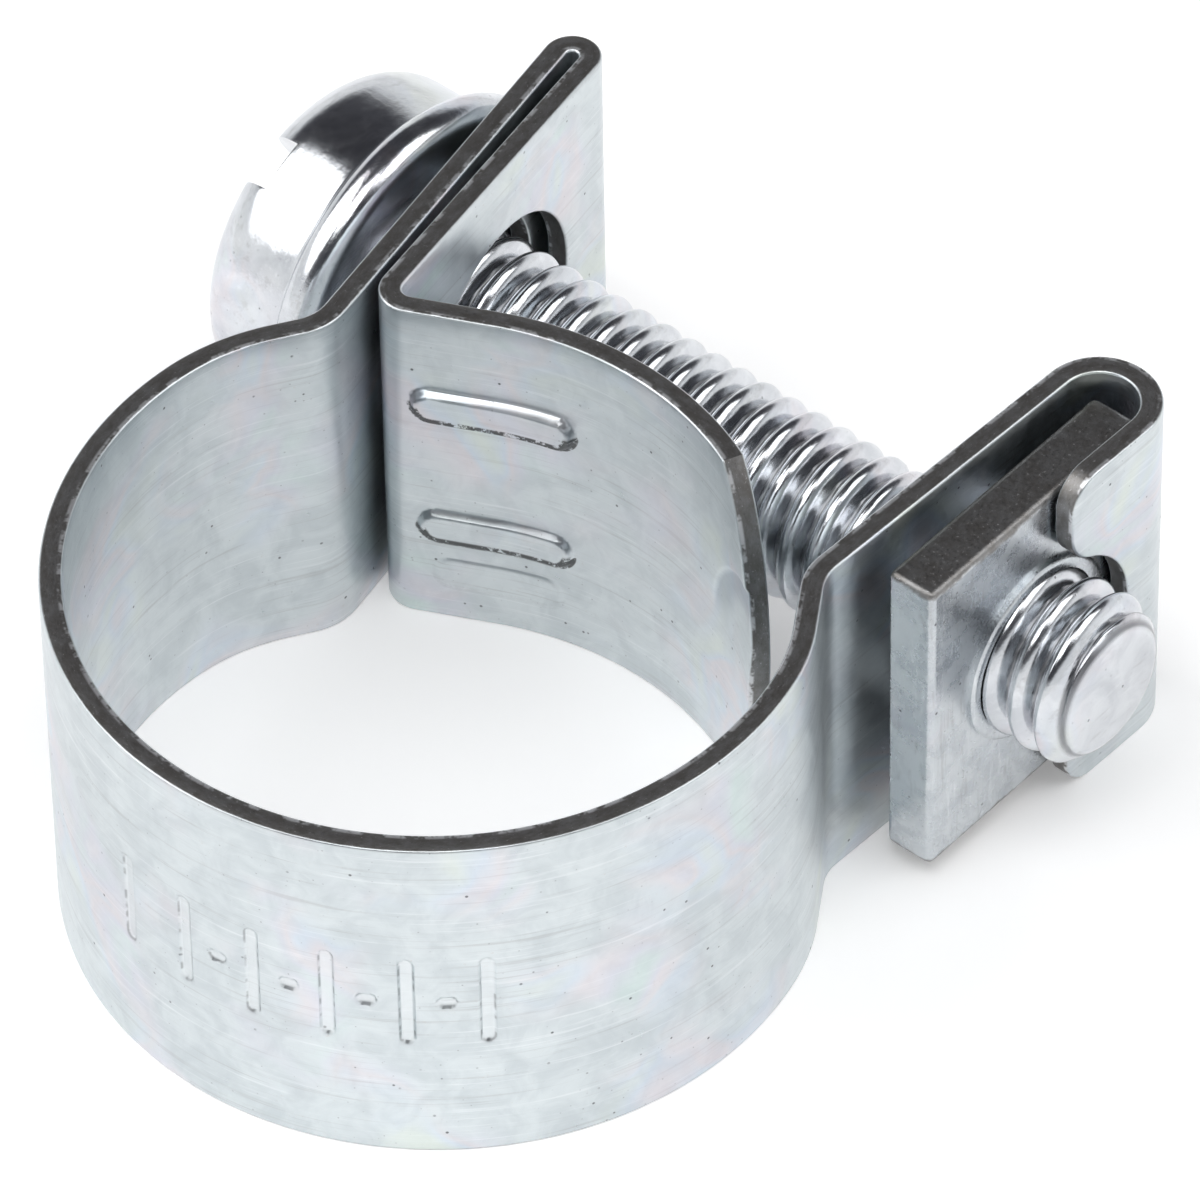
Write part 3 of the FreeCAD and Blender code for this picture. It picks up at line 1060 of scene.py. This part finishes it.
def cut_patch(bm: bmesh.types.BMesh, patch: Patch) -> None:
    """Cuts one part of the flat strip in small squares."""
    for normal, low, high in ((Vector((1, 0, 0)), patch.start, patch.end),
                              (Vector((0, 1, 0)), patch.low, patch.high)):
        count = max(1, round((high - low) / patch.step))
        for number in range(count + 1):
            faces = [face for face in bm.faces if patch.holds(face.calc_center_median())]
            cut(bm, normal * (low + (high - low) * number / count), normal, faces)


def trim(bm: bmesh.types.BMesh, start: float, end: float) -> None:
    """Keeps the flat strip between two distances, and closes both cuts."""
    for distance, way in ((start, 1.0), (end, -1.0)):
        geom = [*bm.verts, *bm.edges, *bm.faces]
        done = bmesh.ops.bisect_plane(bm, geom=geom, dist=1e-5, plane_co=(distance, 0, 0),
                                      plane_no=(-way, 0, 0), clear_outer=True)
        rim = [item for item in done["geom_cut"] if isinstance(item, bmesh.types.BMEdge)]
        if rim:
            bmesh.ops.holes_fill(bm, edges=rim)


# ---------------------------------------------------------------------------------------------------------
# The thread
# ---------------------------------------------------------------------------------------------------------

@dataclass(frozen=True)
class Thread:
    """A length of screw thread along X."""

    start: float
    end: float
    crest: float
    root: float
    chamfer: float
    pitch: float = 0.7
    crest_at: float = -4.273
    axis_y: float = 9.53
    axis_z: float = 4.5
    segments: int = 96
    rings_a_turn: int = 15

    def rows(self) -> int:
        """How many rings of points the thread has."""
        return round((self.end - self.start) / self.pitch * self.rings_a_turn)

    def build(self, name: str, tree: bpy.types.NodeTree, material: bpy.types.Material) -> bpy.types.Object:
        """Makes the thread as a closed plain mesh.

        Args:
            name: The object's name.
            tree: The thread tree.
            material: The thread's finish.

        Returns:
            The mesh object, in metres.
        """
        holder = linked(bpy.data.objects.new(name + "_source", bpy.data.meshes.new(name + "_source")))
        modifier = holder.modifiers.new("thread", "NODES")
        modifier.node_group = tree
        values = {"Start": self.start, "End": self.end, "Crest Radius": self.crest, "Root Radius": self.root,
                  "Chamfer": self.chamfer, "Pitch": self.pitch, "Crest At": self.crest_at,
                  "Axis Y": self.axis_y, "Axis Z": self.axis_z, "Rows": self.rows(),
                  "Segments": self.segments, "Finish": material}
        for item in tree.interface.items_tree:
            if item.in_out == "INPUT" and item.name in values:
                modifier[item.identifier] = values[item.name]
        return baked_object(holder, name)


def thread_tree() -> bpy.types.NodeTree:
    """Builds the tree that rolls a grid round an axis and raises a helix on it."""
    tree = bpy.data.node_groups.new("screw_thread", "GeometryNodeTree")
    for name in ("Start", "End", "Crest Radius", "Root Radius", "Chamfer", "Pitch", "Crest At", "Axis Y",
                 "Axis Z"):
        tree.interface.new_socket(name, in_out="INPUT", socket_type="NodeSocketFloat")
    for name in ("Rows", "Segments"):
        tree.interface.new_socket(name, in_out="INPUT", socket_type="NodeSocketInt")
    tree.interface.new_socket("Finish", in_out="INPUT", socket_type="NodeSocketMaterial")
    tree.interface.new_socket("Mesh", in_out="OUTPUT", socket_type="NodeSocketGeometry")
    w = Wiring(tree)
    group = w.node("NodeGroupInput")
    given = {socket.name: Sock(w, socket) for socket in group.socket.node.outputs if socket.name}
    rows, segments = given["Rows"], given["Segments"]
    grid = w.node("GeometryNodeMeshGrid", None, {
        "Size X": 1.0, "Size Y": 1.0, "Vertices X": rows, "Vertices Y": segments + 1.0})
    x, y, _ = w.parts(w.node("GeometryNodeInputPosition"))
    down, turn = x + 0.5, y + 0.5
    row = 1.0 / (rows - 1.0)
    share = ((down - row) / (1.0 - 2.0 * row)).most(0.0).least(1.0)
    along = given["Start"] + (given["End"] - given["Start"]) * share
    phase = (along - given["Crest At"]) / given["Pitch"] + turn + 0.25
    slope = 1.0 - abs(phase.fraction() - 0.5) * 2.0
    ridge = 1.0 - slope * slope
    radius = given["Root Radius"] + (given["Crest Radius"] - given["Root Radius"]) * ridge
    left = given["End"] - along
    tip = given["Crest Radius"] - given["Chamfer"]
    radius = radius.least(tip + left).least(tip - 0.10 + left * 4.0)
    closed = down.least(1.0 - down).over(row * 0.5)
    radius = radius * closed
    angle = turn * (-math.tau)
    place = w.vector(along, given["Axis Y"] + radius * angle.cosine(),
                     given["Axis Z"] + radius * angle.sine())
    place = w.node("ShaderNodeVectorMath", {"operation": "SCALE"}, {0: place, "Scale": MM})
    rolled = w.node("GeometryNodeSetPosition", None, {"Geometry": grid, "Position": place})
    merged = w.node("GeometryNodeMergeByDistance", None, {"Geometry": rolled, "Distance": 1e-6})
    shaded = w.node("GeometryNodeSetShadeSmooth", None, {"Geometry": merged, "Shade Smooth": True})
    real = w.node("GeometryNodeRealizeInstances", None, {"Geometry": shaded})
    dressed = w.node("GeometryNodeSetMaterial", None, {"Geometry": real, "Material": given["Finish"]})
    w.node("NodeGroupOutput", None, {"Mesh": dressed})
    return tree


# ---------------------------------------------------------------------------------------------------------
# The screw and the nut
# ---------------------------------------------------------------------------------------------------------

def lathed(name: str, profile: Sequence[Point], centre: tuple[float, float],
           ripple: Callable[[float, float], float] | None = None, segments: int = 160) -> bpy.types.Object:
    """Turns a profile about an axis along X.

    Args:
        name: The object's name.
        profile: Points of X and radius in millimetres, starting and ending on the axis.
        centre: Y and Z of the axis.
        ripple: How much a point's radius is scaled, from its X and its angle.
        segments: The number of steps round.

    Returns:
        A closed mesh object, in metres.
    """
    bm = bmesh.new()
    rings = []
    for x, radius in profile[1:-1]:
        ring = []
        for number in range(segments):
            angle = math.tau * number / segments
            scaled = radius * (ripple(x, angle) if ripple else 1.0)
            ring.append(bm.verts.new((x, centre[0] + scaled * math.cos(angle),
                                      centre[1] + scaled * math.sin(angle))))
        rings.append(ring)
    for first, second in zip(rings, rings[1:]):
        for number in range(segments):
            after = (number + 1) % segments
            bm.faces.new((first[number], first[after], second[after], second[number]))
    for (x, _), ring in ((profile[0], rings[0]), (profile[-1], rings[-1])):
        pole = bm.verts.new((x, *centre))
        for number in range(segments):
            bm.faces.new((pole, ring[number], ring[(number + 1) % segments]))
    bmesh.ops.recalc_face_normals(bm, faces=bm.faces)
    return mesh_object(name, bm)


def block(name: str, size: Sequence[float], turn: Matrix, centre: Sequence[float]) -> bpy.types.Object:
    """A plain block.

    Args:
        name: The object's name.
        size: Its three sides in millimetres.
        turn: How it is turned.
        centre: Its centre in millimetres.

    Returns:
        The mesh object, in metres.
    """
    bm = bmesh.new()
    bmesh.ops.create_cube(bm, size=1.0)
    bm.transform(Matrix.Translation(centre) @ turn.to_4x4() @ Matrix.Diagonal((*size, 1.0)))
    return mesh_object(name, bm)


@dataclass
class CollarScrew:
    """The screw: a slotted domed head and its collar, turned in one piece, and the threaded shank."""

    axis_y: float = 9.53
    axis_z: float = 4.5
    bearing_x: float = -8.52
    collar_radius: float = 4.45
    collar_thickness: float = 0.95
    collar_round: float = 0.42
    head_radius: float = 3.95
    head_height: float = 2.6
    head_round: float = 1.1
    foot_round: float = 0.18
    crown: tuple[Point, ...] = ((0.02, 0.6), (0.05, 0.25), (0.06, 0.0))
    slot_edge: float = 0.12
    slot_width: float = 1.2
    slot_depth: float = 0.95
    slot_lean: float = 28.0
    thread: Thread = field(default_factory=lambda: Thread(-9.0, 10.4, 1.95, 1.50, 0.5))
    finish: TurnedFinish = field(default_factory=lambda: TurnedFinish(
        "screw_zinc", (0.70, 0.72, 0.745), (0.56, 0.58, 0.61), 0.19, 0.9, 0.25, 0.30, 0.8))

    def build(self, tree: bpy.types.NodeTree) -> list[bpy.types.Object]:
        """Makes the head and the thread."""
        material = self.finish.build()
        shank = self.thread.build("screw_thread", tree, material)
        head = self._head()
        head.data.materials.append(material)
        for obj in (shank, head):
            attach(obj, "screw")
        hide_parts("collar_screw")
        return [head, shank]

    def _head(self) -> bpy.types.Object:
        """The collar and the slotted head."""
        collar_back = self.bearing_x - self.collar_thickness
        end = collar_back - self.head_height
        rim = self.collar_radius - self.collar_round
        flat = self.head_radius - self.head_round
        foot = self.foot_round
        profile = [(self.bearing_x, 0.0), (self.bearing_x, rim * 0.6)]
        profile += arc_points((self.bearing_x - self.collar_round, rim), self.collar_round, 0, 90, 10)
        profile += arc_points((collar_back + self.collar_round, rim), self.collar_round, 90, 180, 10)
        profile += arc_points((collar_back - foot, self.head_radius + foot), foot, 0, -90, 15)
        profile += [(collar_back - foot - 0.5, self.head_radius)]
        profile += arc_points((end + self.head_round, flat), self.head_round, 90, 176, 7)
        profile += [(end - rise, flat * share) for rise, share in self.crown]
        head = lathed("screw_head", profile, (self.axis_y, self.axis_z), self._ripple)
        size = (2 * self.slot_depth, self.slot_width, 3 * self.head_radius)
        cutter = block("slot_cutter", size, Matrix.Rotation(math.radians(self.slot_lean), 3, "X"),
                       (end, self.axis_y, self.axis_z))
        head = cut_away(head, cutter)
        head = with_modifier(head, "BEVEL", width=self.slot_edge * MM, segments=3, limit_method="ANGLE",
                             angle_limit=math.radians(38.0), harden_normals=False)
        return flowing_normals(head, 50.0)

    def _ripple(self, x: float, angle: float) -> float:
        """The forging's slight unevenness, strongest on the collar."""
        strength = 0.006 if x > self.bearing_x - self.collar_thickness - 0.05 else 0.003
        return 1.0 + strength * (math.sin(3 * angle + 0.6) + 0.5 * math.sin(7 * angle + 2.0)) / 1.5


@dataclass
class SquareNut:
    """The square nut: a sheared plate with a low boss and a threaded bore."""

    axis_y: float = 9.53
    axis_z: float = 4.5
    back_x: float = 7.05
    thickness: float = 1.2
    width_y: float = 6.8
    width_z: float = 8.1
    edge: float = 0.16
    boss_radius: float = 2.2
    boss_height: float = 0.15
    tap: Thread = field(default_factory=lambda: Thread(6.5, 9.2, 1.99, 1.53, 0.0))
    finish: NutFinish = field(default_factory=lambda: NutFinish(
        "nut_zinc", (0.62, 0.65, 0.67), (0.50, 0.53, 0.56), 0.28, 1.2, 0.2))

    def build(self, tree: bpy.types.NodeTree) -> bpy.types.Object:
        """Makes the nut."""
        front = self.back_x + self.thickness
        centre = (self.back_x + self.thickness / 2, self.axis_y, self.axis_z)
        plate = block("square_nut_body", (self.thickness, self.width_y, self.width_z), Matrix.Identity(3),
                      centre)
        plate = with_modifier(plate, "BEVEL", width=self.edge * MM, segments=3, limit_method="ANGLE",
                              harden_normals=False)
        top = front + self.boss_height
        boss_profile = [(self.back_x + 0.3, 0.0), (self.back_x + 0.3, self.boss_radius),
                        (top - 0.06, self.boss_radius), (top - 0.02, self.boss_radius - 0.04),
                        (top, self.boss_radius - 0.1), (top, 0.0)]
        boss = lathed("boss", boss_profile, (self.axis_y, self.axis_z), None, 96)
        plate = with_modifier(plate, "BOOLEAN", operation="UNION", solver="EXACT", object=boss)
        bpy.data.objects.remove(boss)
        material = self.finish.build()
        tap = self.tap.build("tap", tree, material)
        plate = cut_away(plate, tap)
        plate = flowing_normals(plate, 35.0)
        plate.data.materials.clear()
        plate.data.materials.append(material)
        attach(plate, "nut")
        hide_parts("square_nut")
        return plate


# ---------------------------------------------------------------------------------------------------------
# The studio
# ---------------------------------------------------------------------------------------------------------

@dataclass(frozen=True)
class Softbox:
    """A large soft light that is aimed at the clamp."""

    name: str
    azimuth: float
    elevation: float
    distance: float
    size: float
    watts: float

    def build(self, target: Vector) -> bpy.types.Object:
        """Makes the light."""
        data = bpy.data.lights.new(self.name, "AREA")
        data.shape, data.size, data.energy = "SQUARE", self.size, self.watts
        obj = linked(bpy.data.objects.new(self.name, data))
        obj.location = target + outward(self.azimuth, self.elevation) * self.distance
        obj.rotation_euler = (target - obj.location).to_track_quat("-Z", "Y").to_euler()
        return obj


def outward(azimuth: float, elevation: float) -> Vector:
    """The direction of a place round the clamp, where azimuth 0 is the ring's front."""
    a, e = math.radians(azimuth), math.radians(elevation)
    return Vector((math.sin(a) * math.cos(e), -math.cos(a) * math.cos(e), math.sin(e)))


@dataclass
class Studio:
    """The floor, the surroundings, the lights and the camera."""

    azimuth: float = 41.28
    elevation: float = 45.48
    roll: float = -1.05
    distance: float = 0.2535
    lens: float = 360.0
    aim: tuple[float, float, float] = (0.000206, 0.00491, 0.0045)
    floor_size: float = 1.6
    boxes: tuple[Softbox, ...] = (
        Softbox("left_softbox", -50.0, 45.0, 0.45, 0.36, 1.1),
        Softbox("right_softbox", 125.0, 50.0, 0.45, 0.32, 0.8),
        Softbox("front_softbox", 30.0, 70.0, 0.50, 0.28, 0.9),
    )

    def build(self) -> None:
        """Makes everything that isn't the clamp."""
        self._floor()
        self._surroundings()
        for box in self.boxes:
            box.build(Vector(self.aim))
        self._camera()

    def _floor(self) -> None:
        """A plain pale floor under the strip's lower edge."""
        bm = bmesh.new()
        bmesh.ops.create_grid(bm, x_segments=1, y_segments=1, size=self.floor_size / MM)
        floor = mesh_object("floor", bm)
        material, w = new_finish("pale_floor")
        shader = w.node("ShaderNodeBsdfPrincipled", None,
                        {"Base Color": (0.93, 0.93, 0.93, 1.0), "Roughness": 0.75,
                         "Emission Color": (1.0, 1.0, 1.0, 1.0), "Emission Strength": 0.22})
        w.node("ShaderNodeOutputMaterial", None, {"Surface": shader})
        floor.data.materials.append(material)

    def _surroundings(self) -> None:
        """Soft surroundings, bright at the horizon and darker overhead."""
        world = bpy.data.worlds.new("surroundings")
        world.use_nodes = True
        bpy.context.scene.world = world
        w = Wiring(world.node_tree)
        direction = w.node("ShaderNodeTexCoord", None, None, out="Generated")
        _, _, rise = w.parts(direction)
        ramp = w.node("ShaderNodeValToRGB", {"stops": [
            (0.0, (1.0, 1.0, 1.0)), (0.28, (0.95, 0.96, 0.97)), (0.44, (0.06, 0.06, 0.07)),
            (1.0, (0.04, 0.04, 0.045))]}, {"Fac": rise})
        back = w.node("ShaderNodeBackground", None, {"Color": ramp, "Strength": 1.0})
        w.node("ShaderNodeOutputWorld", None, {"Surface": back})

    def _camera(self) -> None:
        """The camera, a little above the corner where the screw's tip is."""
        back = outward(self.azimuth, self.elevation)
        angle = math.radians(self.azimuth)
        right = Vector((math.cos(angle), math.sin(angle), 0.0))
        up = back.cross(right)
        turn = math.radians(self.roll)
        across = math.cos(turn) * right + math.sin(turn) * up
        upward = -math.sin(turn) * right + math.cos(turn) * up
        data = bpy.data.cameras.new("camera")
        data.sensor_width, data.lens, data.clip_start = 36.0, self.lens, 0.01
        obj = linked(bpy.data.objects.new("camera", data))
        frame_of = Matrix((across, upward, back)).transposed().to_4x4()
        obj.matrix_world = Matrix.Translation(Vector(self.aim) + back * self.distance) @ frame_of
        bpy.context.scene.camera = obj


def main() -> None:
    """Builds the clamp and its studio."""
    logging.basicConfig(level=logging.INFO, format="%(name)s: %(message)s")
    bpy.context.scene.view_settings.view_transform = "Standard"
    Studio().build()
    tree = thread_tree()
    made = Band().build() + CollarScrew().build(tree) + [SquareNut().build(tree)]
    for obj in made:
        LOG.info("%s: %d faces", obj.name, len(obj.data.polygons))


if __name__ == "__main__":
    main()
